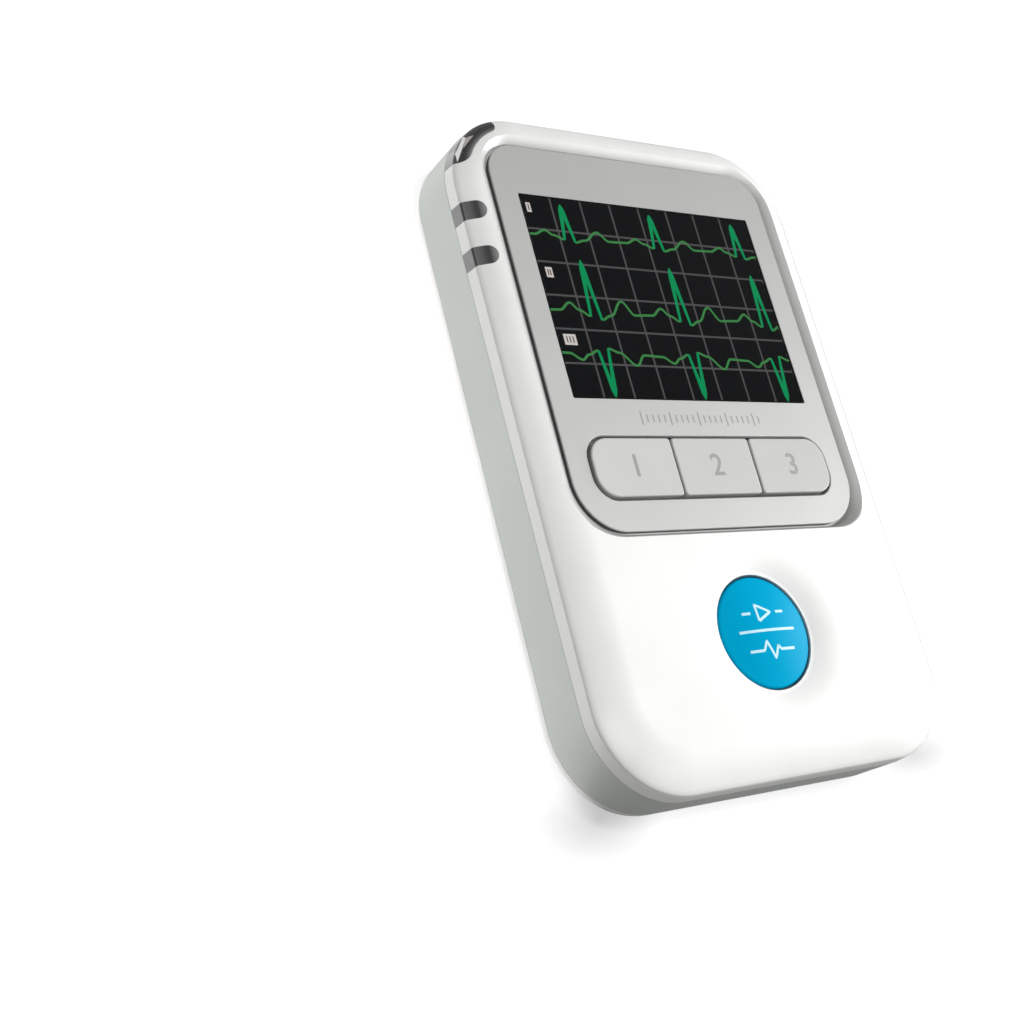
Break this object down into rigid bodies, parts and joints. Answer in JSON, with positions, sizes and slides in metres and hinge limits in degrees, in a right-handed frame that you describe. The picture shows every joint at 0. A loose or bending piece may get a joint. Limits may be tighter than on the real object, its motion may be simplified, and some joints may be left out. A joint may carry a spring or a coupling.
{
  "type": "holter monitor",
  "caption": "Pocket heart rhythm recorder with a small display, grey keys, a round blue event button, a lead socket in its top end and a hinged battery door at the back.",
  "frame": {"origin": "centre of the recorder's outline on the plane of its back face, which it lies on", "axes": "+X towards the right edge as the display is read, +Y towards the top end with the lead socket, +Z out of the front face"},
  "size_m": [0.06, 0.0944, 0.014],
  "materials": {
    "white_gloss": "glossy moulded shell",
    "grey_satin": "satin moulded frame",
    "panel_grey": "fine satin front panel",
    "key_grey": "satin keys",
    "event_blue": "glossy blue button",
    "smoke_clear": "polished dark tinted lens",
    "clear_window": "clear polished window",
    "display_black": "dark glossy screen",
    "black_plastic": "fine matte",
    "dark_rubber": "matte seal",
    "soft_foam": "closed cell foam",
    "board_green": "solder mask",
    "chip_black": "moulded package",
    "amber_film": "polyimide film",
    "steel": "plated",
    "gold_contact": "gold plated contacts",
    "led_white": "small light body",
    "pack_grey": "wrapped battery can"
  },
  "bodies": {
    "recorder": {"front_housing": "white_gloss", "side_frame": "grey_satin", "rear_cover": "white_gloss", "front_seal": "dark_rubber", "rear_seal": "dark_rubber", "case_screw_1": "steel", "case_screw_2": "steel", "case_screw_3": "steel", "case_screw_4": "steel", "battery_tray": "black_plastic", "battery_pack": "pack_grey", "battery_contact_block": "black_plastic", "door_hinge_pin": "steel", "card_socket": "steel", "memory_card": "chip_black", "battery_contact_1": "gold_contact", "battery_contact_2": "gold_contact", "battery_contact_3": "gold_contact", "main_board": "board_green", "board_screw_1": "steel", "board_screw_2": "steel", "board_screw_3": "steel", "board_screw_4": "steel", "processor_chip": "chip_black", "signal_chip": "chip_black", "buzzer": "black_plastic", "clock_cell": "steel", "event_switch": "black_plastic", "ribbon_connector": "black_plastic", "corner_led": "led_white", "status_led_upper": "led_white", "status_led_lower": "led_white", "lead_socket": "black_plastic", "lead_socket_contacts": "gold_contact", "key_switch_1": "black_plastic", "key_switch_2": "black_plastic", "key_switch_3": "black_plastic", "display_cushion": "soft_foam", "display_module": "display_black", "display_ribbon": "amber_film", "display_gasket": "soft_foam", "display_window": "clear_window", "display_panel": "panel_grey", "corner_lens": "smoke_clear", "status_window_upper": "smoke_clear", "status_window_lower": "smoke_clear", "button_seal": "dark_rubber"},
    "event_button": {"event_button": "event_blue"},
    "battery_door": {"battery_door": "white_gloss", "door_pad": "soft_foam"},
    "key_1": {"key_1": "key_grey"},
    "key_2": {"key_2": "key_grey"},
    "key_3": {"key_3": "key_grey"}
  },
  "joints": [
    {"name": "event_button_press", "type": "slide", "parent": "recorder", "child": "event_button", "axis": [0, 0, -1], "range_m": [0, 0.0007], "stiffness_N_per_m": 1500, "springref_m": -0.0006},
    {"name": "key_1_press", "type": "slide", "parent": "recorder", "child": "key_1", "axis": [0, 0, -1], "range_m": [0, 0.0004], "stiffness_N_per_m": 1500, "springref_m": -0.0005},
    {"name": "key_2_press", "type": "slide", "parent": "recorder", "child": "key_2", "axis": [0, 0, -1], "range_m": [0, 0.0004], "stiffness_N_per_m": 1500, "springref_m": -0.0005},
    {"name": "key_3_press", "type": "slide", "parent": "recorder", "child": "key_3", "axis": [0, 0, -1], "range_m": [0, 0.0004], "stiffness_N_per_m": 1500, "springref_m": -0.0005},
    {"name": "battery_door_hinge", "type": "hinge", "parent": "recorder", "child": "battery_door", "pos_m": [0, -0.031, 0.0015], "axis": [-1, 0, 0], "range_deg": [0, 95]}
  ]
}
